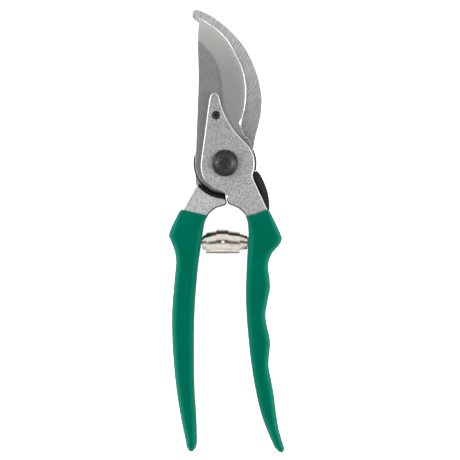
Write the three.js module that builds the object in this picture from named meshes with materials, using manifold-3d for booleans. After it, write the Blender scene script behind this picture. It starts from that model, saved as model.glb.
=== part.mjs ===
// Bypass pruner: two forged handles that cross at one pivot bolt, a cutting blade, a hooked counter
// blade, dipped grips, a volute spring and a thumb latch. Millimetres, +Z up.
// The tool lies on its back, closed. The pivot axis is the Z axis and the jaws point along +Y. Z = 0 is
// the surface that it lies on. Handle A is on the +X side and in front, handle B on the -X side.
import * as THREE from 'three';
import { mergeVertices } from 'three/addons/utils/BufferGeometryUtils.js';
import Module from 'manifold-3d';

const wasm = await Module();
wasm.setup();

// Levels through the thickness, from the back to the front
const GRIP_THICKNESS = 17;
const BACK = 1.8; // rear face of both handles
const HUB_B_TOP = 5.4; // handle B's rear plate ends here
const COUNTER_BLADE = [5.7, 9.1];
const CUTTING_BLADE = [9.4, 12.0];
const HUB_A_BOTTOM = 12.3; // handle A's front plate starts here
const FRONT = 15.2; // front face of both handles

// Radii about the pivot
const BOLT_RADIUS = 4;
const BOLT_HEAD_RADIUS = 6.4;
const BUSHING_RADIUS = 5.6;
const CUTTING_HUB_RADIUS = 14.4;
const HUB_B_RADIUS = 15;
const COUNTER_HUB_RADIUS = 15.45;
const HUB_CLEARANCE_RADIUS = 15.8; // handle A stays outside of this around the turning hubs
const POCKET_RADIUS = 17.1; // arc-shaped pocket of handle B

const COAT = 1.35; // vinyl on the sides of the handle cores
const GAP = 0.25; // clearance between pieces that touch
const CHAMFER = 0.5; // polished edge of the forgings
const NUT_RECESS_FLOOR = 3.3;
const SPRING_Y = -38.3;
const SPRING_Z = GRIP_THICKNESS / 2;
const STUD_RADIUS = 2.3;
const BLADE_SCREW = [-4.4, 23.2];
const LATCH_PIVOT = [14.2, -18];
const LATCH = [6, 9]; // levels of the latch plate
const LATCH_RELIEF_TOP = 9.5; // handle A is cut away behind this level around the latch
const LOCK_SCREW = [-10.6, 5.6];
const THREAD_HOLE = 1.45; // radius of the hole for the blade screw
const RIVET_RADIUS = 1.6;
const RIVET_TURNS = [95, 205, -35]; // degrees round the pivot
const RIVET_CIRCLE = 11.3;
const THROUGH = [-1, 20]; // levels of a cut that goes right through

const STEEL = { color: 0x9a9b9c, roughness: 0.35, metalness: 1 };
const ALUMINIUM = { color: 0xb9babb, roughness: 0.5, metalness: 1 };
const BLACK_STEEL = { color: 0x2b2c2d, roughness: 0.45, metalness: 0.8 };
const VINYL = { color: 0x006950, roughness: 0.4, metalness: 0 };
const NICKEL = { color: 0xd8d2c6, roughness: 0.25, metalness: 1 };
const RUBBER = { color: 0x141414, roughness: 0.8, metalness: 0 };

const degrees = Math.PI / 180;
const pruner = new THREE.Group();

// ---- Outline helpers: each returns a list of points

const corners = (...points) => points.map(([x, y]) => new THREE.Vector2(x, y));

const smooth = (steps, ...points) => new THREE.SplineCurve(corners(...points)).getPoints(steps);

function arc(radius, from, to, steps, [x, y] = [0, 0]) {
  const turn = (i) => (from + ((to - from) * i) / steps) * degrees;
  return Array.from({ length: steps + 1 }, (_, i) =>
    new THREE.Vector2(x + radius * Math.cos(turn(i)), y + radius * Math.sin(turn(i))));
}

function distanceTo(outline, point) {
  const nearest = new THREE.Vector3();
  const edges = outline.map((start, i) => [start, outline[(i + 1) % outline.length]]);
  return Math.min(...edges.map(([start, end]) => {
    const edge = new THREE.Line3(new THREE.Vector3(start.x, start.y), new THREE.Vector3(end.x, end.y));
    edge.closestPointToPoint(new THREE.Vector3(point.x, point.y), true, nearest);
    return Math.hypot(nearest.x - point.x, nearest.y - point.y);
  }));
}

// Moves a closed outline inwards by distance, or outwards where distance is negative. Points that would
// cross a tight corner are left out.
function inset(points, distance) {
  const side = THREE.ShapeUtils.isClockWise(points) ? -1 : 1;
  const moved = points.map((point, i) => {
    const before = points[(i + points.length - 1) % points.length];
    const after = points[(i + 1) % points.length];
    const along = after.clone().sub(before).normalize();
    return new THREE.Vector2(-along.y, along.x).multiplyScalar(side * distance).add(point);
  });
  return moved.filter((point) => distanceTo(points, point) > 0.97 * Math.abs(distance));
}

// ---- Solid helpers

function solid(geometry) {
  geometry.deleteAttribute('normal');
  geometry.deleteAttribute('uv');
  const merged = mergeVertices(geometry, 1e-4);
  return new wasm.Manifold(new wasm.Mesh({
    numProp: 3,
    vertProperties: merged.attributes.position.array,
    triVerts: new Uint32Array(merged.index.array),
  }));
}

// A flat piece between two levels, its edges chamfered or rounded by edge along Z and edgeWidth inwards.
function plate(points, [bottom, top], edge = 0, edgeWidth = edge, edgeSteps = 1) {
  const geometry = new THREE.ExtrudeGeometry(new THREE.Shape(points), {
    depth: top - bottom - 2 * edge,
    bevelEnabled: edge > 0,
    bevelThickness: edge,
    bevelSize: edgeWidth,
    bevelOffset: -edgeWidth,
    bevelSegments: edgeSteps,
  });
  return solid(geometry.translate(0, 0, bottom + edge));
}

function disc(radius, [bottom, top], [x, y] = [0, 0], sides = 32) {
  const geometry = new THREE.CylinderGeometry(radius, radius, top - bottom, sides);
  return solid(geometry.rotateX(90 * degrees).translate(x, y, (bottom + top) / 2));
}

// A turned piece on the Z axis, from [radius, level] points.
function turned(profile, sides = 40) {
  return solid(new THREE.LatheGeometry(corners(...profile), sides).rotateX(90 * degrees));
}

// A round bar along X at the spring's height.
function crossBar(radius, [from, to]) {
  const geometry = new THREE.CylinderGeometry(radius, radius, to - from, 24);
  return solid(geometry.rotateZ(90 * degrees).translate((from + to) / 2, SPRING_Y, SPRING_Z));
}

const join = (first, ...others) => others.reduce((all, other) => all.add(other), first);
const cut = (first, ...others) => others.reduce((left, other) => left.subtract(other), first);

function add(name, manifold, look) {
  const mesh = manifold.getMesh();
  const geometry = new THREE.BufferGeometry();
  geometry.setAttribute('position', new THREE.BufferAttribute(new Float32Array(mesh.vertProperties), 3));
  geometry.setIndex(new THREE.BufferAttribute(new Uint32Array(mesh.triVerts), 1));
  geometry.computeVertexNormals();
  const piece = new THREE.Mesh(geometry, new THREE.MeshStandardMaterial(look));
  piece.name = name;
  pruner.add(piece);
}

// ---- Outlines of the handles, seen from the front

const GRIP_A_OUTLINE = [
  ...corners([10.2, -25.4], [14.9, -24.4], [20.4, -22.2], [21.6, -23.1]),
  ...smooth(8, [26.7, -33.7], [27.6, -36.4], [26.8, -38.9], [24.8, -41.4]),
  ...smooth(40, [22.6, -44.1], [21.2, -47.8], [21.0, -51.5], [21.7, -56.5], [21.8, -61], [20.7, -67],
    [19.7, -73], [20.1, -78], [21.4, -83.5], [21.9, -88], [21.3, -94], [21.2, -99], [22.4, -105.5],
    [23.6, -112], [24.6, -120], [26, -129], [28, -136]),
  ...smooth(6, [28.8, -138.6], [28.3, -140.2], [26.6, -140.4], [24.9, -138.9]),
  ...smooth(24, [22.6, -134.5], [18.2, -123.4], [15.1, -110.8], [12.9, -97.5], [11.4, -84], [10.5, -72],
    [10.3, -61], [10.7, -50], [11.2, -41.5], [11.6, -35], [11.3, -29.3]),
];
const GRIP_B_OUTLINE = [
  ...corners([-8.4, -25.2], [-15.6, -23.5], [-20.7, -22.3], [-22.2, -23.4]),
  ...smooth(8, [-26.3, -31.9], [-27.2, -34.7], [-26.5, -37], [-25.3, -39.9]),
  ...smooth(32, [-24.2, -43.4], [-23.7, -47.5], [-24.1, -53], [-24.9, -61.7], [-25.6, -71], [-25.7, -80],
    [-25.3, -90], [-24.4, -101.5], [-23.2, -112], [-21.4, -123.1], [-19, -134.8]),
  ...smooth(6, [-18.3, -138.2], [-17.2, -139.8], [-15.5, -139.8], [-14.2, -138.1]),
  ...smooth(24, [-13.7, -134.8], [-14.1, -123.1], [-14.9, -111], [-15.2, -97], [-15.2, -85], [-15, -73.4],
    [-14.3, -62], [-13.3, -51], [-12.2, -42.5], [-11.1, -34.5], [-10.1, -29]),
];
const HANDLE_A_OUTLINE = [
  ...corners([13, -30.5], [11.5, -26.8]),
  ...smooth(10, [10.1, -25.2], [7.8, -22.7], [5.1, -21], [1.75, -19.7]),
  ...smooth(60, [0.95, -17.8], [0.55, -15.3], [-2.9, -13.4], [-5.7, -12.4], [-8.4, -10.2], [-10.6, -7.2],
    [-11.7, -2.7], [-11.4, 2.7], [-10.4, 9.5], [-9.4, 17.3], [-8.4, 25.1], [-7.5, 31], [-6.7, 33.2],
    [-5, 34.1], [-3.4, 33.1], [-2.6, 31], [-2, 28.3], [-0.8, 24.9], [1.7, 19.9], [4.5, 15.8],
    [7.6, 12.1], [11, 8.7], [12.9, 5.8], [14, 2.8], [14.3, -0.2], [13.9, -3.6], [13.3, -5.7]),
  ...corners([13.5, -7.3], [20.2, -21.9], [20.9, -24.2], [23, -29]),
];
const HANDLE_B_OUTLINE = [
  ...corners([-14.1, -10.9]),
  ...arc(POCKET_RADIUS, 218, 268, 12),
  ...smooth(15, [0.4, -17.6], [0.75, -18.9], [0.2, -20.1], [-1.7, -20.8], [-4.5, -21.7], [-6.6, -23.4],
    [-8.2, -24.9]),
  ...corners([-9.8, -26.5], [-12, -31], [-24.5, -31.5], [-21.2, -24], [-20.4, -22.2]),
];
// Rear plate between handle B's hub and its neck
const WEB_B_OUTLINE = corners([-14.8, -3], [-14.1, -10.9], [-8, -19], [0.95, -19], [0.55, -17.8],
  [0.2, -15.5], [-0.5, -14]);

// Space behind handle A's neck in which the latch swings
const latchRelief = plate(
  corners([9.2, 0], [9.2, -21], [10.8, -23.8], [14, -24.9], [32, -25.6], [32, 0]), [-1, LATCH_RELIEF_TOP]);

function coreOf(gripOutline, clearance) {
  return plate(inset(gripOutline, COAT + GAP - clearance), [BACK - clearance, FRONT + clearance]);
}

// ---- Handles

// Everything behind handle A's front plate, where the blades and handle B's hub turn
const hubSpace = join(
  disc(HUB_CLEARANCE_RADIUS, [-1, HUB_A_BOTTOM], [0, 0], 64),
  plate(corners([-40, -8.5], [40, -8.5], [40, 45], [-40, 45]), [-1, HUB_A_BOTTOM]),
);
// Countersink that leaves a bright ring round the blade screw
const screwRing = turned([[0, 14.7], [1.75, 14.7], [2.2, FRONT + 0.05], [0, FRONT + 0.05]], 32);
const studA = crossBar(STUD_RADIUS, [6.4, 14]);
const studB = crossBar(STUD_RADIUS, [-14.5, -6.8]);

add('handle_a', cut(
  join(plate(HANDLE_A_OUTLINE, [BACK, FRONT], CHAMFER), coreOf(GRIP_A_OUTLINE, 0), studA),
  hubSpace,
  latchRelief,
  disc(BUSHING_RADIUS + GAP, THROUGH),
  disc(THREAD_HOLE, [HUB_A_BOTTOM - 1, 20], BLADE_SCREW, 16),
  disc(1.75, [13, 20], BLADE_SCREW, 20),
  screwRing.translate(...BLADE_SCREW, 0),
  disc(1.7, [LATCH_RELIEF_TOP - 1, 14], LATCH_PIVOT, 16),
), ALUMINIUM);

const rivetPlaces = RIVET_TURNS.map((turn) => arc(RIVET_CIRCLE, turn, turn, 1)[0].toArray());
const rivetHoles = rivetPlaces.map((place) => disc(RIVET_RADIUS + 0.2, THROUGH, place, 16));

add('handle_b', cut(
  join(
    plate(HANDLE_B_OUTLINE, [BACK, FRONT], CHAMFER),
    coreOf(GRIP_B_OUTLINE, 0),
    disc(HUB_B_RADIUS, [BACK, HUB_B_TOP], [0, 0], 56),
    plate(WEB_B_OUTLINE, [BACK, HUB_B_TOP]),
    studB,
  ),
  disc(BOLT_RADIUS + GAP, THROUGH),
  disc(8.2, [0, NUT_RECESS_FLOOR], [0, 0], 40),
  disc(1.3, [0, 4.9], LOCK_SCREW, 16),
  ...rivetHoles,
), ALUMINIUM);

// ---- Dipped grips

const NECK_A_IN_GRIP = inset(HANDLE_A_OUTLINE, -GAP);
const NECK_B_IN_GRIP = inset(HANDLE_B_OUTLINE, -GAP);

add('grip_a', cut(
  plate(GRIP_A_OUTLINE, [0, GRIP_THICKNESS], 3, 1.2, 3),
  coreOf(GRIP_A_OUTLINE, GAP),
  plate(NECK_A_IN_GRIP, [BACK - GAP, FRONT + GAP]),
  crossBar(STUD_RADIUS + GAP, [6, 14]),
  latchRelief,
), VINYL);

add('grip_b', cut(
  plate(GRIP_B_OUTLINE, [0, GRIP_THICKNESS], 3, 1.2, 3),
  coreOf(GRIP_B_OUTLINE, GAP),
  plate(NECK_B_IN_GRIP, [BACK - GAP, FRONT + GAP]),
  crossBar(STUD_RADIUS + GAP, [-14, -6]),
), VINYL);

// ---- Blades

const CUTTING_OUTLINE = [
  ...smooth(30, [-12.6, 71.4], [-8.6, 68.8], [-4.5, 66.1], [-1.6, 63.4], [1.4, 60.2], [3.9, 56.1], [6, 52],
    [7.9, 48], [9.2, 44], [10.1, 39.2], [10.3, 33], [9.75, 27.3], [8.8, 23.3], [8, 19.6]),
  ...corners([8.4, 17.4], [8.7, 15]),
  ...smooth(8, [9.6, 13.7], [11.4, 11.7], [12.8, 8.6], [13.7, 5]),
  ...arc(CUTTING_HUB_RADIUS, 12, -184, 36),
  ...corners([-14.1, 9], [-13.6, 22], [-13.0, 40], [-12.95, 68]),
];
const GRIND_START = [-12.9, 59.7]; // on the straight line where the blade's front face starts to thin
const GRIND_HEADING = 25.5; // of the direction in which it thins
const GRIND_SLOPE = 9;

function grind() {
  const wedge = new THREE.BoxGeometry(60, 140, 10).translate(30, 0, 5);
  wedge.rotateY(GRIND_SLOPE * degrees).rotateZ(GRIND_HEADING * degrees);
  return solid(wedge.translate(...GRIND_START, CUTTING_BLADE[1]));
}

add('cutting_blade', cut(
  plate(CUTTING_OUTLINE, CUTTING_BLADE),
  grind(),
  disc(BUSHING_RADIUS + GAP, THROUGH),
  disc(THREAD_HOLE, THROUGH, BLADE_SCREW, 16),
), STEEL);

const COUNTER_OUTLINE = [
  ...arc(COUNTER_HUB_RADIUS, 82, 386, 56),
  ...smooth(36, [14.2, 9.6], [15.4, 14.9], [17.2, 22], [18, 29.2], [17.8, 33.8], [16.4, 41.2], [14.4, 47],
    [11.9, 52.7], [8.5, 58.3], [4.5, 62.9], [-0.2, 67.4], [-6.3, 71.8], [-12.4, 74.8], [-14.2, 75.1]),
  ...smooth(6, [-15.8, 74.3], [-16.4, 72.6], [-15.5, 70.7], [-13.2, 69]),
  ...smooth(24, [-10.7, 67.5], [-6.3, 64.1], [-1.9, 59.7], [1.5, 54.8], [3.9, 49.5], [5.6, 43.6], [6.6, 37.3],
    [6.6, 31.9], [5.6, 27.1], [4.1, 23.2], [2.9, 19.3]),
];
// Catch notch for the latch in the rim of the counter blade's hub
const NOTCH_OUTLINE = [...arc(13.9, -12.9, -16.9, 2), ...arc(17, -17.4, -11.9, 2)];

add('counter_blade', cut(
  plate(COUNTER_OUTLINE, COUNTER_BLADE, 0.3),
  plate(NOTCH_OUTLINE, THROUGH),
  disc(BOLT_RADIUS + GAP, THROUGH),
  ...rivetHoles,
), STEEL);

rivetPlaces.forEach((place, i) => {
  const rivet = disc(RIVET_RADIUS, [BACK + 0.1, COUNTER_BLADE[1] - 0.1], place, 16);
  add(`counter_blade_rivet_${i + 1}`, rivet, STEEL);
});

add('blade_screw', join(
  disc(1.2, [CUTTING_BLADE[0] + 0.1, 14], BLADE_SCREW, 16),
  disc(1.45, [13.2, 15.1], BLADE_SCREW, 20),
), BLACK_STEEL);

// ---- Pivot

add('pivot_bolt', turned([[0, 0], [BOLT_RADIUS, 0], [BOLT_RADIUS, 15.45], [BOLT_HEAD_RADIUS, 15.45],
  [BOLT_HEAD_RADIUS, 17], [5.9, 17.6], [5.2, 17.6], [3.6, 17.1], [0, 16.9]]), BLACK_STEEL);
add('pivot_bushing', turned([[BOLT_RADIUS + GAP, 9.3], [BUSHING_RADIUS, 9.3], [BUSHING_RADIUS, 15.1],
  [BOLT_RADIUS + GAP, 15.1], [BOLT_RADIUS + GAP, 9.3]]), STEEL);
add('pivot_washer', turned([[4.5, 2.75], [7.4, 2.75], [7.4, 3.15], [4.5, 3.15], [4.5, 2.75]]), STEEL);

const NUT_TEETH = 18;
const nutOutline = Array.from({ length: NUT_TEETH * 2 }, (_, i) => {
  const radius = i % 2 ? 6.7 : 6.1;
  const turn = (i * 180 * degrees) / NUT_TEETH;
  return new THREE.Vector2(radius * Math.cos(turn), radius * Math.sin(turn));
});
add('pivot_nut', cut(plate(nutOutline, [0.3, 2.6]), disc(BOLT_RADIUS + GAP, THROUGH)), BLACK_STEEL);

const LOCK_PLATE_OUTLINE = [...arc(7, 122, 182, 8), ...arc(2.9, 200, 90, 8, LOCK_SCREW)];
add('nut_lock_plate', cut(
  plate(LOCK_PLATE_OUTLINE, [1, 1.65]),
  disc(1.3, THROUGH, LOCK_SCREW, 16),
), STEEL);
add('nut_lock_screw', join(
  disc(2, [0.15, 0.85], LOCK_SCREW, 20),
  disc(1.1, [0.8, 4.6], LOCK_SCREW, 16),
), STEEL);

// ---- Spring, bumper and latch

const springProfile = [[3, -11], [3.65, -11], [3.65, -9.3], [5.4, -9.3], [5.4, -4.2], [6, -4.2],
  [6, 1.3], [5.4, 1.3], [5.4, 7.4], [3.65, 7.4], [3.65, 10.9], [3, 10.9], [3, -11]];
const spring = new THREE.LatheGeometry(corners(...springProfile), 32).rotateZ(-90 * degrees);
add('volute_spring', solid(spring.translate(0, SPRING_Y, SPRING_Z)), NICKEL);

const BUMPER_OUTLINE = [...arc(16.85, 218.7, 270.9, 13), ...arc(15.75, 270.9, 218.7, 13)];
add('rubber_bumper', plate(BUMPER_OUTLINE, [HUB_B_TOP + 0.2, 12.6]), RUBBER);

const LATCH_OUTLINE = [
  ...arc(15.75, -20, -14, 2),
  ...smooth(20, [16, -4], [17, -5], [18.4, -7.5], [19.9, -11.1], [21, -14.4], [21.6, -18.7], [21.7, -22.4]),
  ...smooth(6, [20.9, -23.4], [17.5, -23.2], [14, -22.6]),
  ...arc(4.4, 250, 170, 6, LATCH_PIVOT),
  ...arc(15.8, -48, -24, 5),
];
const LATCH_RIB_OUTLINE = [
  ...corners([14.7, -8.3], [15.9, -6.3]),
  ...smooth(10, [17.2, -5.8], [18.2, -7.6], [19.7, -11.1], [20.7, -14.4]),
  ...corners([18, -15]),
];
// The nose reaches over the counter blade's rim, beside the notch
const LATCH_NOSE_OUTLINE = [
  ...arc(14.8, -28, -15.5, 4),
  ...smooth(8, [15.2, -3.6], [16, -4.1], [17, -5.2], [17.8, -6.8]),
  ...corners([16.5, -9]),
];
const latchHole = disc(1.8, THROUGH, LATCH_PIVOT, 16);
add('thumb_latch', cut(
  join(
    plate(LATCH_OUTLINE, LATCH, 0.4),
    plate(LATCH_RIB_OUTLINE, [3.5, 11.5], 0.4),
    plate(LATCH_NOSE_OUTLINE, [9.5, 11.5], 0.4),
  ),
  latchHole,
), BLACK_STEEL);
add('latch_screw', join(
  disc(2.9, [4.2, 5.8], LATCH_PIVOT, 24),
  disc(1.5, [5, 13.6], LATCH_PIVOT, 16),
), STEEL);
add('latch_washer', cut(disc(3.4, [9.1, 9.4], LATCH_PIVOT, 24), latchHole), STEEL);

export default pruner;
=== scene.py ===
# Bypass pruner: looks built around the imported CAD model. Metres; shapes are worked out in millimetres.
import math

import bmesh
import bpy
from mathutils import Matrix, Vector
from mathutils.geometry import delaunay_2d_cdt


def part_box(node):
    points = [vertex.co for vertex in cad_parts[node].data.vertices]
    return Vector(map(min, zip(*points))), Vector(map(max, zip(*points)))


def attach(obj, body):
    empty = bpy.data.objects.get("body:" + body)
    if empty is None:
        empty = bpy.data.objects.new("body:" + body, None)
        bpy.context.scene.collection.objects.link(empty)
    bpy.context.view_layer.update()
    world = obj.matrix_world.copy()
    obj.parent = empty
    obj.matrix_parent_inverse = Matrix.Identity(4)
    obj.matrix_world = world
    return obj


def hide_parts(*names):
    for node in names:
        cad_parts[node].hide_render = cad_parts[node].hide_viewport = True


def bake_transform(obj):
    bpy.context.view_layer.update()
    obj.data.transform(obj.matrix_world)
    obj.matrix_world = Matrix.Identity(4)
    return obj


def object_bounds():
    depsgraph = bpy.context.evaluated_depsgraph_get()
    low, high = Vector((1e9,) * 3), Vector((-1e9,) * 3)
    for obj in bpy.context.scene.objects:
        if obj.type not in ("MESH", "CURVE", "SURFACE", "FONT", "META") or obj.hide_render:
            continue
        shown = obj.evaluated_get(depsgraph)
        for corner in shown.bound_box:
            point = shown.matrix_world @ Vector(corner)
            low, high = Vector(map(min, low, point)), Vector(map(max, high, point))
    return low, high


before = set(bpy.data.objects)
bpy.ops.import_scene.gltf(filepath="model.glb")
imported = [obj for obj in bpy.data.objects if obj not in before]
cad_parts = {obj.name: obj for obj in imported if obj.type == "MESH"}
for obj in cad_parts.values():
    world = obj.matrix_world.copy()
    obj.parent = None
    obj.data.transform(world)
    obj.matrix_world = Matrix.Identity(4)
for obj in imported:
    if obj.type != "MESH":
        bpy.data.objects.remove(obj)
cad_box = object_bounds()

MM = 0.001
BODY_A, BODY_B, BODY_LATCH = "handle_a_side", "handle_b_side", "latch"


# ---- Outlines, as lists of 2D points in millimetres

def box_mm(node):
    low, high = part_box(node)
    return Vector(low) / MM, Vector(high) / MM


def area(loop):
    return sum(p.cross(q) for p, q in zip(loop, loop[1:] + loop[:1])) / 2


def section(node, level):
    """Outlines of a CAD node at one level: the outer ones run anticlockwise, the holes clockwise."""
    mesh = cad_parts[node].data
    mesh.calc_loop_triangles()
    points = [v.co / MM for v in mesh.vertices]
    onward = {}
    for triangle in mesh.loop_triangles:
        corners = [points[i] for i in triangle.vertices]
        ends = {}
        for p, q in zip(corners, corners[1:] + corners[:1]):
            if (p.z < level) == (q.z < level):
                continue
            low, high = (p, q) if p.z < q.z else (q, p)
            spot = low.lerp(high, (level - low.z) / (high.z - low.z))
            ends["up" if p is low else "down"] = (round(spot.x, 3), round(spot.y, 3))
        if ends and ends["up"] != ends["down"]:
            onward[ends["up"]] = ends["down"]
    loops = []
    while onward:
        start, point = onward.popitem()
        loop = [Vector(start)]
        while point != start and point in onward:
            loop.append(Vector(point))
            point = onward.pop(point)
        loops.append(loop)
    loops.sort(key=lambda loop: -abs(area(loop)))
    if area(loops[0]) < 0:
        loops = [loop[::-1] for loop in loops]
    return [tidy(loop) for loop in loops]


def turn_at(before, point, after):
    return (point - before).angle(after - point, 0)


def tidy(loop, nearest=0.05, straight=0.004):
    """Leaves out doubled points and points in the middle of a straight run."""
    kept = []
    for point in loop:
        if not kept or (point - kept[-1]).length > nearest:
            kept.append(point)
    if (kept[0] - kept[-1]).length < nearest:
        kept.pop()
    count = len(kept)
    return [p for i, p in enumerate(kept)
            if turn_at(kept[i - 1], p, kept[(i + 1) % count]) > straight]


def smooth(loop, step=0.7, corner=math.radians(24)):
    """Curves a faceted outline, keeping its sharp corners."""
    count = len(loop)
    sharp = [turn_at(loop[i - 1], loop[i], loop[(i + 1) % count]) > corner for i in range(count)]

    def heading(i):
        before, here, after = loop[i - 1], loop[i], loop[(i + 1) % count]
        into, out = here - before, after - here
        return (into / into.length_squared + out / out.length_squared).normalized()

    result = []
    for i in range(count):
        j = (i + 1) % count
        p, q = loop[i], loop[j]
        span = (q - p).length
        start = (q - p).normalized() if sharp[i] else heading(i)
        end = (q - p).normalized() if sharp[j] else heading(j)
        steps = max(1, round(span / step))
        for k in range(steps):
            t = k / steps
            result.append((2 * t**3 - 3 * t**2 + 1) * p + (t**3 - 2 * t**2 + t) * span * start
                          + (3 * t**2 - 2 * t**3) * q + (t**3 - t**2) * span * end)
    return result


def offset(loop, distances):
    """Moves each point into the material by its own distance, mitred at corners."""
    count = len(loop)
    if not isinstance(distances, list):
        distances = [distances] * count
    moved = []
    for i, point in enumerate(loop):
        into = (point - loop[i - 1]).normalized()
        out = (loop[(i + 1) % count] - point).normalized()
        across = Vector((-into.y - out.y, into.x + out.x)).normalized()
        mitre = min(1 / max(across.dot(Vector((-into.y, into.x))), 0.3), 2)
        moved.append(point + across * distances[i] * mitre)
    return moved


def ring(radius, centre=(0, 0), sides=48):
    return [Vector((centre[0] + radius * math.cos(i * math.tau / sides),
                    centre[1] + radius * math.sin(i * math.tau / sides))) for i in range(sides)]


def curve(points, steps):
    """A smooth open line through the points."""
    points = [Vector(p) for p in points]
    points = [2 * points[0] - points[1], *points, 2 * points[-1] - points[-2]]
    result = []
    for a, b, c, d in zip(points, points[1:], points[2:], points[3:]):
        for k in range(steps):
            t = k / steps
            result.append(0.5 * (2 * b + (c - a) * t + (2 * a - 5 * b + 4 * c - d) * t**2
                                 + (3 * b - a - 3 * c + d) * t**3))
    return result + [points[-2]]


def distance(line, point, closed=False):
    ends = zip(line, line[1:] + line[:1]) if closed else zip(line, line[1:])
    best = 1e9
    for p, q in ends:
        along = q - p
        t = min(max((point - p).dot(along) / max(along.length_squared, 1e-12), 0), 1)
        best = min(best, (point - p - along * t).length_squared)
    return math.sqrt(best)


def inside(loops, point):
    crossed = False
    for loop in loops:
        for p, q in zip(loop, loop[1:] + loop[:1]):
            if (p.y > point.y) != (q.y > point.y):
                if point.x < p.x + (point.y - p.y) / (q.y - p.y) * (q.x - p.x):
                    crossed = not crossed
    return crossed


# ---- Meshes

def finish_mesh(name, mesh_data, materials, sharp=35, weighted=True):
    """Closes and cleans the mesh, scales it to metres, and smooths edges of less than sharp degrees."""
    mesh = bpy.data.meshes.new(name)
    bmesh.ops.remove_doubles(mesh_data, verts=mesh_data.verts, dist=0.002)
    bmesh.ops.dissolve_degenerate(mesh_data, dist=0.001, edges=mesh_data.edges)
    bmesh.ops.delete(mesh_data, geom=[e for e in mesh_data.edges if e.is_wire], context="EDGES")
    bmesh.ops.holes_fill(mesh_data, edges=[e for e in mesh_data.edges if e.is_boundary], sides=0)
    bmesh.ops.recalc_face_normals(mesh_data, faces=mesh_data.faces)
    bmesh.ops.scale(mesh_data, vec=(MM,) * 3, verts=mesh_data.verts)
    mesh_data.to_mesh(mesh)
    mesh_data.free()
    mesh.shade_smooth()
    mesh.set_sharp_from_angle(angle=math.radians(sharp))
    for material in materials:
        mesh.materials.append(material)
    piece = bpy.data.objects.new(name, mesh)
    bpy.context.scene.collection.objects.link(piece)
    if weighted:
        even = piece.modifiers.new("even_shading", "WEIGHTED_NORMAL")
        even.keep_sharp = True
    return piece


def put(piece, body, node, slot):
    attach(piece, body)
    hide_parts(node)


def sheet(mesh_data, loops, rims, height, guides=(), slot_of=None):
    """Closes the flat loops with triangles. rims holds the vertices that already stand on the loops."""
    points = [p for loop in loops for p in loop]
    known = [v for rim in rims for v in rim]
    edges, start = [], 0
    for loop in loops:
        count = len(loop)
        edges += [(start + i, start + (i + 1) % count) for i in range(count)]
        start += count
    for line in guides:
        points += line
        edges += [(start + i, start + i + 1) for i in range(len(line) - 1)]
        start += len(line)
    spots, _, triangles, origins, _, _ = delaunay_2d_cdt(points, edges, [], 0, 1e-5)
    verts = {}

    def vertex(i):
        if i not in verts:
            known_here = [k for k in origins[i] if k < len(known)]
            if known_here:
                verts[i] = known[known_here[0]]
            else:
                verts[i] = mesh_data.verts.new((*spots[i], height(spots[i])))
        return verts[i]

    for triangle in triangles:
        centre = sum((spots[i] for i in triangle), Vector((0, 0))) / 3
        if inside(loops, centre):
            corners = [vertex(i) for i in triangle]
            if len(set(corners)) == 3 and mesh_data.faces.get(corners) is None:
                face = mesh_data.faces.new(corners)
                if slot_of:
                    face.material_index = slot_of(centre)


def stack(mesh_data, loops, profile, height=None, guides=(), slot_of=None, side_slots=None):
    """A plate with the given outlines. profile(point) lists (distance inwards, level) from bottom to top."""
    bottom, *_, top = [level for _, level in profile(loops[0][0])]
    rims, outlines = [], []
    for loop in loops:
        rows = list(zip(*(profile(p) for p in loop)))
        moved = [offset(loop, [inwards for inwards, _ in row]) for row in rows]
        rim = [[mesh_data.verts.new((*p, level)) for p, (_, level) in zip(line, row)]
               for line, row in zip(moved, rows)]
        outlines.append(moved)
        rims.append(rim)
        count = len(loop)
        for k, (low, high) in enumerate(zip(rim, rim[1:])):
            for i in range(count):
                j = (i + 1) % count
                face = mesh_data.faces.new((low[i], low[j], high[j], high[i]))
                if side_slots:
                    face.material_index = side_slots(k, (loop[i] + loop[j]) / 2)
    sheet(mesh_data, [moved[0] for moved in outlines], [rim[0] for rim in rims], lambda p: bottom)
    sheet(mesh_data, [moved[-1] for moved in outlines], [rim[-1] for rim in rims],
          height or (lambda p: top), guides, slot_of)


def rounded(bottom, top, edge, steps=2):
    """Profile of a plate whose edges are rounded by edge."""
    turns = [i * math.pi / 2 / steps for i in range(steps + 1)]
    rows = [(edge * (1 - math.sin(t)), bottom + edge * (1 - math.cos(t))) for t in turns]
    rows += [(edge * (1 - math.cos(t)), top - edge * (1 - math.sin(t))) for t in turns]
    return lambda point: rows


def plate(name, loops, bottom, top, edge, materials):
    mesh_data = bmesh.new()
    stack(mesh_data, loops, rounded(bottom, top, edge))
    return finish_mesh(name, mesh_data, materials)


def lathe(name, profile, materials, centre=(0, 0), sides=96, sharp=35):
    """A turned shape about the line along Z at centre. profile is a closed list of (radius, level)."""
    mesh_data = bmesh.new()
    rows = []
    for radius, level in profile:
        if radius < 1e-6:
            rows.append([mesh_data.verts.new((*centre, level))])
        else:
            rows.append([mesh_data.verts.new((*p, level)) for p in ring(radius, centre, sides)])
    for low, high in zip(rows, rows[1:] + rows[:1]):
        for i in range(sides):
            j = (i + 1) % sides
            corners = []
            for v in (low[i % len(low)], low[j % len(low)], high[j % len(high)], high[i % len(high)]):
                if v not in corners:
                    corners.append(v)
            if len(corners) > 2:
                mesh_data.faces.new(corners)
    return finish_mesh(name, mesh_data, materials, sharp)


# ---- Materials

def node_tree(name):
    material = bpy.data.materials.new(name)
    material.use_nodes = True
    nodes, links = material.node_tree.nodes, material.node_tree.links
    return material, nodes, links, nodes["Principled BSDF"]


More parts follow.
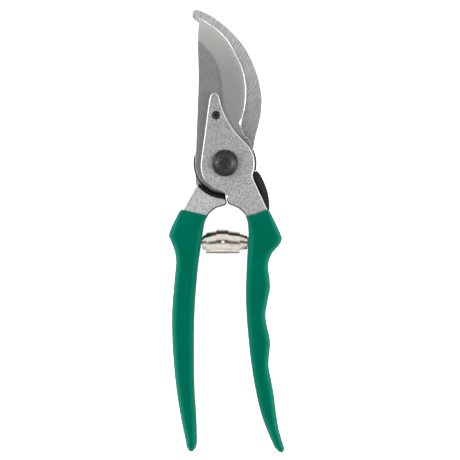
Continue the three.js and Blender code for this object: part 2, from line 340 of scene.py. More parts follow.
def pattern(nodes, links, size, stretch=(1, 1, 1), heading=0, detail=4, roughness=0.55):
    """Noise whose grains are about size millimetres across, drawn out by stretch along heading."""
    place = nodes.new("ShaderNodeTexCoord")
    turn = nodes.new("ShaderNodeMapping")
    turn.vector_type = "TEXTURE"
    turn.inputs["Rotation"].default_value = (0, 0, math.radians(heading))
    turn.inputs["Scale"].default_value = [MM * size * s for s in stretch]
    noise = nodes.new("ShaderNodeTexNoise")
    noise.inputs["Scale"].default_value = 1
    noise.inputs["Detail"].default_value = detail
    noise.inputs["Roughness"].default_value = roughness
    links.new(place.outputs["Object"], turn.inputs["Vector"])
    links.new(turn.outputs["Vector"], noise.inputs["Vector"])
    return noise.outputs["Fac"]


def ramp(nodes, links, value, *stops):
    """Colours, or grey levels, at places along value."""
    node = nodes.new("ShaderNodeValToRGB")
    elements = node.color_ramp.elements
    while len(elements) < len(stops):
        elements.new(0.5)
    for element, (place, colour) in zip(elements, stops):
        element.position = place
        element.color = (*colour, 1) if isinstance(colour, tuple) else (colour, colour, colour, 1)
    links.new(value, node.inputs["Fac"])
    return node.outputs["Color"]


def spread(nodes, links, value, low, high, start=0.3, end=0.7):
    node = nodes.new("ShaderNodeMapRange")
    for socket, number in (("From Min", start), ("From Max", end), ("To Min", low), ("To Max", high)):
        node.inputs[socket].default_value = number
    links.new(value, node.inputs["Value"])
    return node.outputs["Result"]


def mix(nodes, links, kind, factor, first, second):
    node = nodes.new("ShaderNodeMix")
    node.data_type = kind
    index = {"FLOAT": (2, 3, 0), "RGBA": (6, 7, 2)}[kind]
    for socket, value in ((0, factor), (index[0], first), (index[1], second)):
        if hasattr(value, "is_output"):
            links.new(value, node.inputs[socket])
        elif kind == "RGBA" and socket and not isinstance(value, tuple):
            node.inputs[socket].default_value = (value, value, value, 1)
        elif isinstance(value, tuple):
            node.inputs[socket].default_value = (*value, 1)
        else:
            node.inputs[socket].default_value = value
    return node.outputs[index[2]]


def tilt(nodes, links, axis, *stops):
    """A level that follows how a face leans. Along Z, 0 is upright and 1 is level, either way up.
    Along Y, 0 faces -Y and 1 faces +Y."""
    normal = nodes.new("ShaderNodeNewGeometry")
    parts = nodes.new("ShaderNodeSeparateXYZ")
    links.new(normal.outputs["Normal"], parts.inputs["Vector"])
    if axis == "Y":
        return ramp(nodes, links, spread(nodes, links, parts.outputs["Y"], 0, 1, -1, 1), *stops)
    size = nodes.new("ShaderNodeMath")
    size.operation = "ABSOLUTE"
    links.new(parts.outputs["Z"], size.inputs[0])
    return ramp(nodes, links, size.outputs[0], *stops)


def near(nodes, links, centre, radius):
    """1 within radius of the line along Z at centre, and 0 half a millimetre further out."""
    place = nodes.new("ShaderNodeTexCoord")
    flat = nodes.new("ShaderNodeVectorMath")
    flat.operation = "MULTIPLY_ADD"
    flat.inputs[1].default_value = (1 / MM, 1 / MM, 0)
    flat.inputs[2].default_value = (-centre[0], -centre[1], 0)
    length = nodes.new("ShaderNodeVectorMath")
    length.operation = "LENGTH"
    links.new(place.outputs["Object"], flat.inputs[0])
    links.new(flat.outputs["Vector"], length.inputs[0])
    return spread(nodes, links, length.outputs["Value"], 1, 0, radius, radius + 0.5)


def bump(nodes, links, shader, value, depth, strength=0.6):
    node = nodes.new("ShaderNodeBump")
    node.inputs["Distance"].default_value = depth * MM
    node.inputs["Strength"].default_value = strength
    links.new(value, node.inputs["Height"])
    links.new(node.outputs["Normal"], shader.inputs["Normal"])


# How much of a second colour shows, as (how level the face is, share) stops
# UPRIGHT places the side colour, painted shade on upright walls; CHAMFER places the chamfer colour
UPRIGHT = (0.1, 1.0), (0.3, 0.0)
CHAMFER = (0.12, 0.0), (0.3, 1.0), (0.86, 1.0), (0.95, 0.0)
# SHOULDER places a painted highlight on a grip's shoulders, GRIP_SIDE painted shade on its upright sides
SHOULDER = (0.35, 0.0), (0.55, 1.0), (0.8, 1.0), (0.94, 0.0)
GRIP_SIDE = (0.2, 1.0), (0.4, 0.0)
STAINED = (0.5, 0.0), (0.72, 0.55)  # the same for a stain, by the broad pattern
Y_DARKENING_COLOUR = 0.12, 0.12, 0.12  # colour that fade mixes in: the metal gets darker towards one end along Y
BROAD, BROAD_COATED = 7, 14  # size of the broad patterns


def metal(name, dark, light, rough, size=1.0, stretch=(1, 1, 1), heading=0, depth=0.02, edge=None,
          stain=None, metallic=1.0, detail=5, side=None, darken_along_y=None, contrast=0.18, fine=0.55,
          unpolished_and_shaded=None, shade=None, tint=None):
    """Metal with a grain. edge is the (colour, roughness) of worn or polished chamfers; on the handles
    that colour is also a painted highlight. side is a painted shade colour for upright walls, and
    unpolished the (centre, radius) within which chamfers get that painted shade too. fade darkens the
    metal along Y: by fade[2] at Y fade[0], and not at all beyond Y fade[1]. shade is a colour and
    how much of it shows, by how the face leans along Y. tint is the reflection's colour at low angles."""
    material, nodes, links, shader = node_tree(name)
    shader.inputs["Metallic"].default_value = metallic
    grain = pattern(nodes, links, size, stretch, heading, detail, fine)
    broad = pattern(nodes, links, BROAD, detail=3)
    colour = ramp(nodes, links, grain, (0.5 - contrast, dark), (0.5 + contrast, light))
    if stain:
        patch = ramp(nodes, links, broad, *STAINED)
        colour = mix(nodes, links, "RGBA", patch, colour, stain)
    # fade darkens the colour by position along Y
    if darken_along_y:
        place = nodes.new("ShaderNodeTexCoord")
        parts = nodes.new("ShaderNodeSeparateXYZ")
        links.new(place.outputs["Object"], parts.inputs["Vector"])
        darkening = spread(nodes, links, parts.outputs["Y"], darken_along_y[2], 0, darken_along_y[0] * MM, darken_along_y[1] * MM)
        colour = mix(nodes, links, "RGBA", darkening, colour, Y_DARKENING_COLOUR)
    finish = spread(nodes, links, grain, rough[1], rough[0])
    finish = mix(nodes, links, "FLOAT", spread(nodes, links, broad, 0.0, 0.35), finish, rough[1])
    if side:
        upright = tilt(nodes, links, "Z", *UPRIGHT)
        colour = mix(nodes, links, "RGBA", upright, colour, side)
    if edge:
        lean = tilt(nodes, links, "Z", *CHAMFER)
        chamfer_colour = edge[0]
        # Within unpolished, chamfers take the side colour: painted shade
        if unpolished_and_shaded:
            chamfer_colour = mix(nodes, links, "RGBA", near(nodes, links, *unpolished_and_shaded), edge[0], side)
        colour = mix(nodes, links, "RGBA", lean, colour, chamfer_colour)
        finish = mix(nodes, links, "FLOAT", lean, finish, edge[1])
    if shade:
        colour = mix(nodes, links, "RGBA", tilt(nodes, links, "Y", *shade[1]), colour, shade[0])
    if tint:
        shader.inputs["Specular Tint"].default_value = (*tint, 1)
    links.new(colour, shader.inputs["Base Color"])
    links.new(finish, shader.inputs["Roughness"])
    bump(nodes, links, shader, grain, depth)
    return material


def coated(name, dark, light, rough, size, depth, tint=None, specular=0.5, ior=1.5, lean=None):
    """Plastic or rubber with a fine skin. lean gives the colours of (shoulders, upright sides): a painted
    highlight on the shoulders and painted shade on the sides.
    """
    material, nodes, links, shader = node_tree(name)
    grain = pattern(nodes, links, size, detail=3)
    broad = pattern(nodes, links, BROAD_COATED, detail=2)
    colour = ramp(nodes, links, broad, (0.35, dark), (0.65, light))
    if lean:
        colour = mix(nodes, links, "RGBA", tilt(nodes, links, "Z", *SHOULDER), colour, lean[0])
        colour = mix(nodes, links, "RGBA", tilt(nodes, links, "Z", *GRIP_SIDE), colour, lean[1])
    links.new(colour, shader.inputs["Base Color"])
    links.new(spread(nodes, links, grain, rough[0], rough[1]), shader.inputs["Roughness"])
    shader.inputs["Specular IOR Level"].default_value = specular
    if tint:
        shader.inputs["Specular Tint"].default_value = (*tint, 1)
    shader.inputs["IOR"].default_value = ior
    bump(nodes, links, shader, grain, depth, 0.35)
    return material


# Chamfer colours of handles A and B: polished metal, with a painted highlight, brightest on handle B
POLISH_AND_HIGHLIGHT, POLISH_AND_HIGHLIGHT_B = ((0.42, 0.42, 0.42), 0.33), ((0.8, 0.8, 0.8), 0.3)
ARCH = (0.5, -27), 9.7  # the chamfers that bound the opening between the handles aren't polished, and get side's painted shade colour
# side paints shade onto the upright walls of both handles
FORGED = metal("forged_aluminium", (0.26, 0.262, 0.264), (0.5, 0.504, 0.507), (0.42, 0.56), 0.55,
               stretch=(1.7, 1, 1), heading=48, depth=0.06, edge=POLISH_AND_HIGHLIGHT, side=(0.1, 0.1, 0.1),
               darken_along_y=(36, -16, 0.24), contrast=0.07, detail=6, fine=0.7, unpolished_and_shaded=ARCH)
# Handle B's copy of the forged aluminium, painted lighter than handle A's as painted light
FORGED_B = metal("forged_aluminium_b", (0.32, 0.322, 0.324), (0.58, 0.584, 0.587), (0.42, 0.56), 0.55,
                 stretch=(1.7, 1, 1), heading=-32, depth=0.06, edge=POLISH_AND_HIGHLIGHT_B, side=(0.1, 0.1, 0.1),
                 contrast=0.07, detail=6, fine=0.7, unpolished_and_shaded=ARCH)
GROUND = metal("ground_steel", (0.5, 0.5, 0.5), (0.61, 0.61, 0.608), (0.3, 0.38), 0.45,
               stretch=(22, 1, 1), depth=0.004, stain=(0.53, 0.53, 0.46), darken_along_y=(46, 76, 0.46))
FLAT = metal("dull_steel", (0.3, 0.3, 0.302), (0.43, 0.43, 0.432), (0.32, 0.42), 0.6,
             stretch=(1, 5, 1), depth=0.008, contrast=0.11)
# The honed bevel: polished steel, coloured brighter than the blade as a painted highlight
EDGE = metal("honed_edge_and_highlight", (0.75, 0.75, 0.75), (0.9, 0.9, 0.9), (0.25, 0.35), 0.3, depth=0.002)
# side paints shade onto the counter blade's upright walls
HOOK = metal("brushed_steel", (0.31, 0.31, 0.31), (0.6, 0.6, 0.6), (0.38, 0.55), 0.36,
             stretch=(14, 1, 1), heading=58, depth=0.025, edge=((0.3, 0.3, 0.3), 0.4), detail=3,
             side=(0.18, 0.18, 0.18), darken_along_y=(12, 66, 0.5), contrast=0.11)
# The counter blade hub's rim and walls: a near-black colour painted on as painted shade
HUB_RIM_SHADE = metal("painted_shade_hub_rim", (0.045, 0.041, 0.036), (0.11, 0.102, 0.088), (0.4, 0.55), 0.5, depth=0.01,
              contrast=0.12, tint=(0.2, 0.19, 0.18))
BOLT_BLACK = metal("oiled_black", (0.022, 0.022, 0.022), (0.075, 0.074, 0.073), (0.34, 0.5), 1.0,
                   depth=0.06, contrast=0.13, edge=((0.03, 0.03, 0.03), 0.4), detail=6, fine=0.7,
                   tint=(0.15, 0.15, 0.15))
BLACK = metal("blackened_steel", (0.02, 0.021, 0.022), (0.075, 0.077, 0.08), (0.24, 0.4), 0.7,
              depth=0.04, edge=((0.06, 0.06, 0.06), 0.3), metallic=0.8)
ZINC = metal("plated_steel", (0.4, 0.4, 0.4), (0.58, 0.58, 0.57), (0.28, 0.4), 0.7, depth=0.008,
             edge=((0.7, 0.7, 0.7), 0.25))
NICKEL = metal("nickel_plate", (0.68, 0.64, 0.57), (0.82, 0.78, 0.71), (0.14, 0.22), 1.1,
               stretch=(3, 1, 1), depth=0.006, stain=(0.55, 0.46, 0.39), tint=(0.5, 0.46, 0.42),
               shade=((0.16, 0.14, 0.11), ((0.0, 1.0), (0.06, 0.8), (0.1, 0.5), (0.16, 0.3), (0.25, 0.0),
                                           (0.79, 0.0), (0.805, 0.85), (0.83, 0.8), (0.87, 0.2))))
PIN = metal("dull_nickel", (0.56, 0.48, 0.44), (0.68, 0.6, 0.55), (0.6, 0.7), 0.4, depth=0.01)
# lean paints the grips' shoulders lighter green as a painted highlight and their sides darker as painted
# shade
VINYL = coated("dipped_vinyl", (0.0, 0.069, 0.041), (0.0, 0.078, 0.047), (0.44, 0.54), 0.8, 0.02,
               tint=(0.02, 1.0, 0.8), specular=0.2, ior=1.25, lean=((0.0, 0.1, 0.062), (0.0, 0.062, 0.038)))
BLACK_LATCH = coated("black_paint", (0.004, 0.004, 0.0045), (0.01, 0.01, 0.0105), (0.45, 0.6), 0.6,
                     0.02, specular=0.35)
RUBBER = coated("black_rubber", (0.004, 0.004, 0.004), (0.008, 0.008, 0.008), (0.6, 0.75), 0.5, 0.02,
                specular=0.2)


# ---- Handles: the CAD forgings, with their own chamfers

FLAT_ANGLE = 1  # faces that lean less than this many degrees from each other are one face


def finish_forging(node, material):
    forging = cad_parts[node]
    forging.data.materials.clear()
    forging.data.materials.append(material)
    forging.modifiers.new("weld", "WELD").merge_threshold = 0.002 * MM
    flat = forging.modifiers.new("flat", "DECIMATE")
    flat.decimate_type = "DISSOLVE"
    flat.angle_limit = math.radians(FLAT_ANGLE)


# ---- Grips

GRIP_SHOULDER, NECK_SHOULDER = 3.4, 1.7  # width of a grip's round shoulder, and where it meets the metal
GRIP_DEPTH = 4.6  # that the shoulder falls, from the front or the back to the upright side
GRIP_LIP = 0.9  # width of the round lip at the metal
GRIP_STEP = 1.1  # between the points on a grip's flat faces
NECK_LENGTH = 10  # over which the shoulder widens
LATCH_RELIEF = 9.5, [(10.8, -23.9), (14, -25), (32, -25.7)]  # below this level, grip A stays under this line
TAPER, TAPER_LENGTH = 0.9, 80  # each face leans in by TAPER over the grip's last TAPER_LENGTH
SHOULDER_SHARES = 0.03, 0.1, 0.2, 0.32, 0.46, 0.62, 0.8, 1.0, 1.2  # of its width, where points follow it
LIP_SHARES = 0.15, 0.35, 0.65, 1.0


def grip(node, top_edge):
    """A dipped grip: flat in front, round at its sides and tip, with a square lip at the metal."""
    low, high = box_mm(node)
    middle, half = (low.z + high.z) / 2, (high.z - low.z) / 2
    outline = smooth(offset(section(node, high.z - 1.5)[0], -0.25), 0.8)
    top = [Vector(p) for p in top_edge]
    outline_sides = sides_of(outline, top)

    def level(point):
        thin = min(max((low.y + TAPER_LENGTH - point[1]) / TAPER_LENGTH, 0), 1) ** 2 * TAPER
        below = min(distance(top, point) / NECK_LENGTH, 1)
        reach = NECK_SHOULDER + (GRIP_SHOULDER - NECK_SHOULDER) * below**2 * (3 - 2 * below)
        side = min(distance(outline_sides, point) / reach, 1)
        end = min(distance(top, point) / GRIP_LIP, 1)
        swell = math.sqrt(1 - (1 - side) ** 2)
        return half - thin - GRIP_DEPTH * (1 - min(swell, math.sqrt(1 - (1 - end) ** 2)))

    mesh_data = bmesh.new()
    wall = half - GRIP_DEPTH
    rims = [[mesh_data.verts.new((*p, middle + z)) for p in outline] for z in (-wall, 0, wall)]
    for lower, upper in zip(rims, rims[1:]):
        for i in range(len(outline)):
            j = (i + 1) % len(outline)
            mesh_data.faces.new((lower[i], lower[j], upper[j], upper[i]))
    guides = [[p] for p in grip_points(outline, top, low, high)]
    for side, rim in ((1, rims[2]), (-1, rims[0])):
        sheet(mesh_data, [outline], [rim], lambda p: middle + side * level(p), guides)
    return mesh_data


def grip_points(outline, top, low, high):
    """Points that a grip's face goes through: close together on its shoulder and lip, and in a grid."""
    points = []

    def add(point, clear):
        if inside([outline], point) and distance(outline, point, True) > clear:
            points.append(point)

    for share in SHOULDER_SHARES:
        for point in offset(outline, share * GRIP_SHOULDER):
            add(point, 0.93 * share * GRIP_SHOULDER)
    for share in LIP_SHARES:
        for p, q in zip(top, top[1:]):
            for i in range(12):
                add(p.lerp(q, i / 12) + Vector((0, -share * GRIP_LIP * 1.05)), 0.1)
    for i in range(int((high.x - low.x) / GRIP_STEP)):
        for j in range(int((high.y - low.y) / GRIP_STEP)):
            add(Vector((low.x + (i + 0.5) * GRIP_STEP, low.y + (j + 0.5) * GRIP_STEP)), GRIP_SHOULDER * 0.9)
    return points


def sides_of(outline, top):
    """The part of the outline that isn't the grip's top edge."""
    count = len(outline)
    at_top = [distance(top, p) < 0.35 for p in outline]
    start = next(i for i in range(count) if at_top[i - 1] and not at_top[i])
    line = []
    for i in range(count):
        point = outline[(start + i) % count]
        if at_top[(start + i) % count]:
            break
        line.append(point)
    return line


def level_on(line, x):
    """Y of a line of points, running to greater X, at x."""
    for p, q in zip(line, line[1:]):
        if x < q[0]:
            break
    return p[1] + (q[1] - p[1]) * max((x - p[0]) / (q[0] - p[0]), 0)


def make_grip(name, node, body, top_edge, relief=None):
    mesh_data = grip(node, top_edge)
    for v in mesh_data.verts if relief else ():
        if v.co.z < relief[0]:
            v.co.y = min(v.co.y, level_on(relief[1], v.co.x))
    put(finish_mesh(name, mesh_data, [VINYL], 180, False), body, node, "grip_vinyl")


# ---- Blades

GRIND_LINE = [(-12.4, 59.3), (-9.5, 55.5), (-6.3, 51.1), (-4.5, 47), (-3.3, 43.1), (-2.7, 38.3),
              (-2.6, 34), (-1.6, 27), (1.5, 19.5), (5.5, 14.4), (8.6, 12.6)]
GROUND_SIDE = [(16, 12), (16, 80), (-20, 80), (-20, 59.6)]  # closes the region that the line bounds
TIP, HEEL = Vector((-12.6, 71.4)), Vector((8.4, 17.4))
GRIND_SLOPES = 0.135, 0.2  # at the heel and at the tip
GRIND_SHARES = 0.15, 0.3, 0.45, 0.6, 0.75, 0.9  # of the way to the edge, where lines of points run
GRIND_POINTS = 36  # along each of those lines
HONE_WIDTH = 0.5  # of the polished bevel along the cutting edge
HONE_LEVEL = 9.8  # lowest level of the ground face
COUNTER_EDGE = 0.35  # radius of the counter blade's rounded edges
SHADED_RIM_FROM, HUB_RADIUS = 14.2, 15.5  # rim of the counter blade's hub, which with the hub's walls is painted near-black as painted shade


def nearest_index(loop, point):
    return min(range(len(loop)), key=lambda i: (loop[i] - point).length)


def grind_guides(ground, edge):
    """Lines of points across the ground face, clear of the honed bevel."""
    lines = [ground]
    for share in GRIND_SHARES:
        line = []
        for i in range(1, GRIND_POINTS):
            p = ground[round(i / GRIND_POINTS * (len(ground) - 1))]
            q = edge[round(i / GRIND_POINTS * (len(edge) - 1))]
            line.append(p.lerp(q, share))
        lines.append([p for p in line if distance(edge, p) > HONE_WIDTH + 0.25])
    return lines


def make_cutting_blade():
    """The blade, hollow ground between GRIND_LINE and its cutting edge, which has a honed bevel coloured
    brighter than the steel as a painted highlight.
    """
    low, high = box_mm("cutting_blade")
    loops = [smooth(loop) for loop in section("cutting_blade", low.z + 0.05)]
    start = nearest_index(loops[0], TIP) + 1
    outline = loops[0][start:] + loops[0][:start]
    edge = outline[nearest_index(outline, HEEL):][::-1]
    ground = curve(GRIND_LINE, 5)
    region = ground + [Vector(p) for p in GROUND_SIDE]

    def hone_width(point):
        ends = min((point - TIP).length, (point - HEEL).length)
        return HONE_WIDTH * min(0.25 + ends / 5, 1)

    def height(point):
        point = Vector(point)
        if not inside([region], point):
            return high.z
        to_line = distance(ground, point)
        to_edge = max(distance(edge, point) - HONE_WIDTH, 0)
        towards_tip = min(max((point.y - HEEL.y) / (TIP.y - HEEL.y), 0), 1)
        slope = GRIND_SLOPES[0] + (GRIND_SLOPES[1] - GRIND_SLOPES[0]) * towards_tip**1.5
        drop = min(slope * (to_line + to_edge), high.z - HONE_LEVEL)
        return high.z - drop * to_line / max(to_line + to_edge, 1e-6)

    def honed(point):
        return distance(edge, point) < 0.01

    def profile(point):
        if honed(point):
            width = hone_width(point)
            start = low.z + 0.05
            level = start + (height(point) - start) * width / HONE_WIDTH
            return [(0.05, low.z), (0, low.z + 0.02), (0, low.z + 0.05), (width, level)]
        top = height(point)
        return [(0.12, low.z), (0, low.z + 0.12), (0, top - 0.15), (0.15, top)]

    mesh_data = bmesh.new()
    stack(mesh_data, [outline, *loops[1:]], profile, height, grind_guides(ground, edge),
          lambda centre: 1 if inside([region], centre) else 0,
          lambda k, middle: 2 if k == 2 and honed(middle) else 0)
    piece = finish_mesh("bypass_blade", mesh_data, [FLAT, GROUND, EDGE], 14)
    put(piece, BODY_A, "cutting_blade", "blade_steel")


def make_counter_blade():
    low, high = box_mm("counter_blade")
    loops = [smooth(loop) for loop in section("counter_blade", (low.z + high.z) / 2)]
    hub = ring(SHADED_RIM_FROM, sides=96)
    kept = [inside(loops, p) and min(distance(loop, p, True) for loop in loops) > 0.6 for p in hub]
    guides = [[hub[i - 1], hub[i]] for i in range(len(hub)) if kept[i - 1] and kept[i]]
    mesh_data = bmesh.new()
    # slot 1 of the mesh, the hub's rim and walls, takes the painted shade
    stack(mesh_data, loops, rounded(low.z, high.z, COUNTER_EDGE), guides=guides,
          slot_of=lambda p: 1 if SHADED_RIM_FROM < p.length < HUB_RADIUS else 0,
          side_slots=lambda k, p: 1 if p.length < HUB_RADIUS else 0)
    put(finish_mesh("hook_blade", mesh_data, [HOOK, HUB_RIM_SHADE]), BODY_B, "counter_blade", "blade_steel")


# ---- Fasteners

def make_bolt():
    _, high = box_mm("pivot_bolt")
    top, head = high.z, high.x
    profile = [(0, 0), (3.6, 0), (4, 0.4), (4, 15.45), (head - 0.1, 15.45), (head, 15.6),
               (head, top - 0.5), (head - 0.08, top - 0.3), (head - 0.25, top - 0.12),
               (head - 0.55, top), (head - 1.1, top), (head - 1.4, top - 0.2), (head - 1.7, top - 0.22),
               (4.2, top - 0.4), (3.5, top - 0.75), (2.6, top - 0.95), (1.4, top - 1.05), (0, top - 1.1)]
    put(lathe("bolt", profile, [BOLT_BLACK], sharp=28), BODY_B, "pivot_bolt", "black_steel")


def make_nut():
    low, high = box_mm("pivot_nut")
    piece = plate("serrated_nut", section("pivot_nut", (low.z + high.z) / 2), low.z, high.z, 0.2, [BLACK])
    put(piece, BODY_B, "pivot_nut", "black_steel")


SOCKET_DEPTH = 0.55  # of a screw's hexagon socket, as a share of its head


def screw(name, node, body, material, slot, head, shank, hexagon, from_back):
    """A cap screw: head and shank are (radius, level, level), hexagon the radius of its socket."""
    low, high = box_mm(node)
    centre = ((low.x + high.x) / 2, (low.y + high.y) / 2)
    radius, bottom, top = head
    socket = ring(hexagon, centre, 6)[::-1]
    mesh_data = bmesh.new()
    stack(mesh_data, [ring(radius, centre), socket], rounded(bottom, top, 0.15))
    depth = SOCKET_DEPTH * (top - bottom)
    floor = (bottom + depth, top) if from_back else (bottom, top - depth)
    stack(mesh_data, [ring(hexagon + 0.2, centre)], lambda p: [(0, floor[0]), (0, floor[1] - 0.05)])
    stack(mesh_data, [ring(shank[0], centre)], rounded(shank[1], shank[2], 0.1))
    put(finish_mesh(name, mesh_data, [material]), body, node, slot)


def make_rivets():
    for i in (1, 2, 3):
        node = f"counter_blade_rivet_{i}"
        low, high = box_mm(node)
        radius = (high.x - low.x) / 2
        profile = [(0, low.z), (radius * 0.7, low.z + 0.04), (radius, low.z + 0.3), (radius, high.z - 0.3),
                   (radius * 0.7, high.z - 0.04), (0, high.z)]
        centre = ((low.x + high.x) / 2, (low.y + high.y) / 2)
        put(lathe(f"rivet_{i}", profile, [ZINC], centre, 40), BODY_B, node, "small_steel")


def flat_pieces():
    """Washers, lock plate, bushing and rubber, each cut from its own CAD outline."""
    for name, node, body, edge, material, slot in (
            ("lock_plate", "nut_lock_plate", BODY_B, 0.12, ZINC, "small_steel"),
            ("thin_washer", "pivot_washer", BODY_B, 0.08, ZINC, "small_steel"),
            ("bearing", "pivot_bushing", BODY_A, 0.15, ZINC, "small_steel"),
            ("latch_spacer", "latch_washer", BODY_A, 0.06, ZINC, "small_steel"),
            ("bumper", "rubber_bumper", BODY_B, 0.25, RUBBER, "bumper_rubber")):
        low, high = box_mm(node)
        loops = [smooth(loop) for loop in section(node, (low.z + high.z) / 2)]
        put(plate(name, loops, low.z, high.z, edge, [material]), body, node, slot)


# ---- Latch

LATCH_EDGE = 0.3  # radius of its rounded edges
LATCH_PLATE = 6, 9  # levels of the lever itself
LATCH_NOSE = 9.5  # the nose starts at this level


def make_latch():
    """The lever, its thick thumb pad, and the nose that reaches over the counter blade's rim."""
    low, high = box_mm("thumb_latch")
    middle = (low.z + high.z) / 2
    lever = [smooth(loop) for loop in section("thumb_latch", middle)]
    pad = [smooth(section("thumb_latch", low.z + 0.7)[0])]
    nose = [smooth(section("thumb_latch", LATCH_NOSE + 1)[0])]
    mesh_data = bmesh.new()
    stack(mesh_data, lever, rounded(*LATCH_PLATE, LATCH_EDGE, 3))
    stack(mesh_data, pad, rounded(low.z, high.z - 0.1, LATCH_EDGE, 3))
    stack(mesh_data, nose, rounded(LATCH_NOSE, high.z, LATCH_EDGE, 3))
    put(finish_mesh("latch_lever", mesh_data, [BLACK_LATCH]), BODY_LATCH, "thumb_latch", "black_steel")


# ---- Spring: one band for each turn of the strip

SPRING_WALL = 0.3
SPRING_TURNS = [  # (left end, right end, radius and height of the axis at each of them, tongue)
    (-11.0, -5.6, 3.42, 3.45, -0.22, -0.2, 0),
    (-10.1, -4.4, 3.8, 3.85, 0.02, 0.05, 0),
    (-9.2, -3.0, 5.05, 5.55, -0.48, 0.05, 1.6),
    (-4.3, 1.5, 5.82, 5.82, 0.25, 0.25, 0),
    (0.2, 7.2, 5.6, 5.12, 0.07, -0.4, -1.55),
    (2.6, 8.8, 3.88, 3.85, 0.15, 0.12, 0),
    (3.6, 9.8, 3.62, 3.6, 0.0, -0.05, 0),
    (4.6, 10.9, 3.42, 3.4, -0.15, -0.2, 0),
]
TONGUE_DEPTH = 0.35  # of a tongue, which reaches under the next turn: to the left if its length is below 0
STRIP_LEAN = 0.12  # the edge of a turn leans this far along the axis
STRIP_CURL = 0.06
FLATTENED = 0.97  # height of the spring, as a share of its width
PIN_RADIUS, PIN_PLACE = 0.78, -1.0  # of the pin that holds the outer end of the strip
PIN_SEAT = 4.9  # height above the spring's axis where the pin starts


def turn_profile(length, tongue):
    """The closed section of a turn's wall, as (share of the length, depth below the outer face)."""
    steps = 6
    wall = SPRING_WALL + (TONGUE_DEPTH if tongue else 0)
    outer = [(k / steps, 0) for k in range(steps + 1)]
    inner = [(share, wall) for share, _ in reversed(outer)]
    reach = abs(tongue) / length
    if tongue > 0:
        outer += [(1, TONGUE_DEPTH), (1 + reach, TONGUE_DEPTH), (1 + reach, wall)]
    elif tongue < 0:
        inner += [(-reach, wall), (-reach, TONGUE_DEPTH), (0, TONGUE_DEPTH)]
    return outer + inner


def spring_turn(name, place, turn):
    """One turn: a short tube whose radius and axis height change along its length."""
    low, high, axis_y, axis_z = place
    left, right, *ends, tongue = turn
    sides = 72
    mesh_data = bmesh.new()
    grid = []
    for share, depth in turn_profile(right - left, tongue):
        curl = STRIP_CURL if share in (0, 1) and depth == 0 else 0
        radius = ends[0] + (ends[1] - ends[0]) * share - depth - curl
        lift = ends[2] + (ends[3] - ends[2]) * share
        line = []
        for i in range(sides):
            angle = i * math.tau / sides
            x = left + (right - left) * share + STRIP_LEAN * math.sin(angle + 0.6)
            line.append(mesh_data.verts.new((min(max(x, low.x), high.x),
                                             axis_y + lift + radius * math.sin(angle),
                                             axis_z + FLATTENED * radius * math.cos(angle))))
        grid.append(line)
    for line, after in zip(grid, grid[1:] + grid[:1]):
        for i in range(sides):
            j = (i + 1) % sides
            mesh_data.faces.new((line[i], line[j], after[j], after[i]))
    return finish_mesh(name, mesh_data, [NICKEL], 40)


def slide(piece):
    """Bakes a spring piece's placement into its mesh, and hides the CAD spring."""
    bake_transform(piece)
    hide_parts("volute_spring")


def make_spring():
    """Eight turns of the strip, one piece each, and the pin."""
    low, high = box_mm("volute_spring")
    axis_y, axis_z = (low.y + high.y) / 2, (low.z + high.z) / 2
    for n, turn in enumerate(SPRING_TURNS):
        piece = spring_turn(f"volute_turn_{n + 1}", (low, high, axis_y, axis_z), turn)
        slide(piece)
    seat, top = axis_z + PIN_SEAT, high.z - 0.05
    head = [(0, seat), (PIN_RADIUS, seat), (PIN_RADIUS, top - 0.3), (PIN_RADIUS - 0.1, top - 0.1),
            (PIN_RADIUS - 0.3, top), (0, top + 0.05)]
    pin = lathe("volute_pin", head, [PIN], (PIN_PLACE, axis_y + 0.1), 32)
    slide(pin)


# ---- Light, floor and camera

SOFTBOX_SIZE = 0.7
FLOOR_RADIUS, FLOOR_LEVEL = 12, -0.0002
FLOOR_GLOW = 0.75  # keeps the floor white under the tool


def make_world():
    """A light tent: bright all round, and darker straight above, where the camera looks in."""
    world = bpy.data.worlds.new("tent")
    bpy.context.scene.world = world
    world.use_nodes = True
    nodes, links = world.node_tree.nodes, world.node_tree.links
    place = nodes.new("ShaderNodeTexCoord")
    parts = nodes.new("ShaderNodeSeparateXYZ")
    links.new(place.outputs["Generated"], parts.inputs["Vector"])
    sky = ramp(nodes, links, parts.outputs["Z"], (0.0, 1.0), (0.9, 1.0), (0.96, 0.4), (0.985, 0.06))
    links.new(sky, nodes["Background"].inputs["Color"])


def add_light(name, place, power):
    """A round softbox that faces the origin."""
    data = bpy.data.lights.new(name, "AREA")
    data.shape = "DISK"
    data.size = SOFTBOX_SIZE
    data.energy = power
    lamp = bpy.data.objects.new(name, data)
    lamp.location = place
    lamp.rotation_mode = "QUATERNION"
    lamp.rotation_quaternion = (-Vector(place)).to_track_quat("-Z", "Y")
    bpy.context.scene.collection.objects.link(lamp)


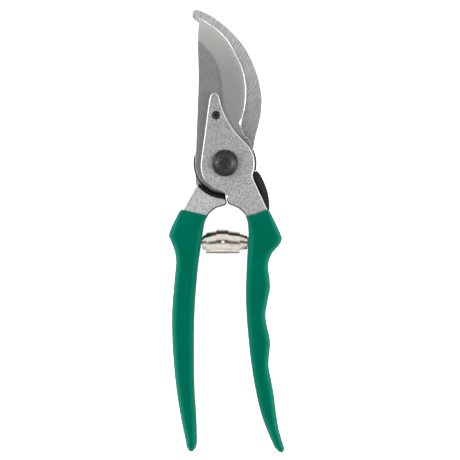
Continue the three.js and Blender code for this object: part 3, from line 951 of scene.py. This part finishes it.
def make_floor():
    mesh_data = bmesh.new()
    bmesh.ops.create_circle(mesh_data, cap_ends=True, segments=96, radius=FLOOR_RADIUS)
    mesh = bpy.data.meshes.new("floor")
    mesh_data.to_mesh(mesh)
    mesh_data.free()
    floor = bpy.data.objects.new("floor", mesh)
    floor.location.z = FLOOR_LEVEL
    bpy.context.scene.collection.objects.link(floor)
    paper, _, _, shader = node_tree("pale_floor")
    shader.inputs["Base Color"].default_value = (0.95, 0.95, 0.95, 1)
    shader.inputs["Roughness"].default_value = 0.9
    shader.inputs["Specular IOR Level"].default_value = 0.1
    shader.inputs["Emission Color"].default_value = (1, 1, 1, 1)
    shader.inputs["Emission Strength"].default_value = FLOOR_GLOW
    mesh.materials.append(paper)


CAMERA_DISTANCE = 0.9
VIEW_HEIGHT = 0.22425  # of the frame, at the middle of the tool
VIEW_CENTRE = (0.00244, -0.0324)


def make_camera():
    scene = bpy.context.scene
    data = bpy.data.cameras.new("camera")
    data.sensor_width = 36
    data.lens = 36 * CAMERA_DISTANCE / VIEW_HEIGHT
    data.clip_start, data.clip_end = 0.05, 40
    camera = bpy.data.objects.new("camera", data)
    level = (cad_box[0][2] + cad_box[1][2]) / 2
    camera.location = (*VIEW_CENTRE, level + CAMERA_DISTANCE)
    scene.collection.objects.link(camera)
    scene.camera = camera


def main():
    bpy.context.scene.view_settings.view_transform = "Standard"
    make_camera()
    make_world()
    make_floor()
    add_light("left_softbox", (-1.0, 0.2, 0.6), 18)
    add_light("right_softbox", (1.0, -0.1, 0.55), 14)
    finish_forging("handle_a", FORGED)
    finish_forging("handle_b", FORGED_B)
    make_cutting_blade()
    make_counter_blade()
    make_bolt()
    make_nut()
    screw("blade_cap_screw", "blade_screw", BODY_A, BLACK, "black_steel",
          (1.45, 13.2, 15.1), (1.2, 9.5, 13.4), 0.75, False)
    screw("lock_cap_screw", "nut_lock_screw", BODY_B, ZINC, "small_steel",
          (2, 0.15, 0.85), (1.1, 0.5, 4.6), 0.9, True)
    screw("latch_cap_screw", "latch_screw", BODY_A, ZINC, "small_steel",
          (2.9, 4.2, 5.8), (1.5, 5.3, 13.6), 1.3, True)
    make_rivets()
    flat_pieces()
    make_latch()
    make_spring()
    make_grip("dipped_grip_a", "grip_a", BODY_A,
              [(10.2, -25.4), (14.9, -24.4), (20.4, -22.2), (21.6, -23.1)], LATCH_RELIEF)
    make_grip("dipped_grip_b", "grip_b", BODY_B,
              [(-8.4, -25.2), (-15.6, -23.5), (-20.7, -22.3), (-22.2, -23.4)])


main()
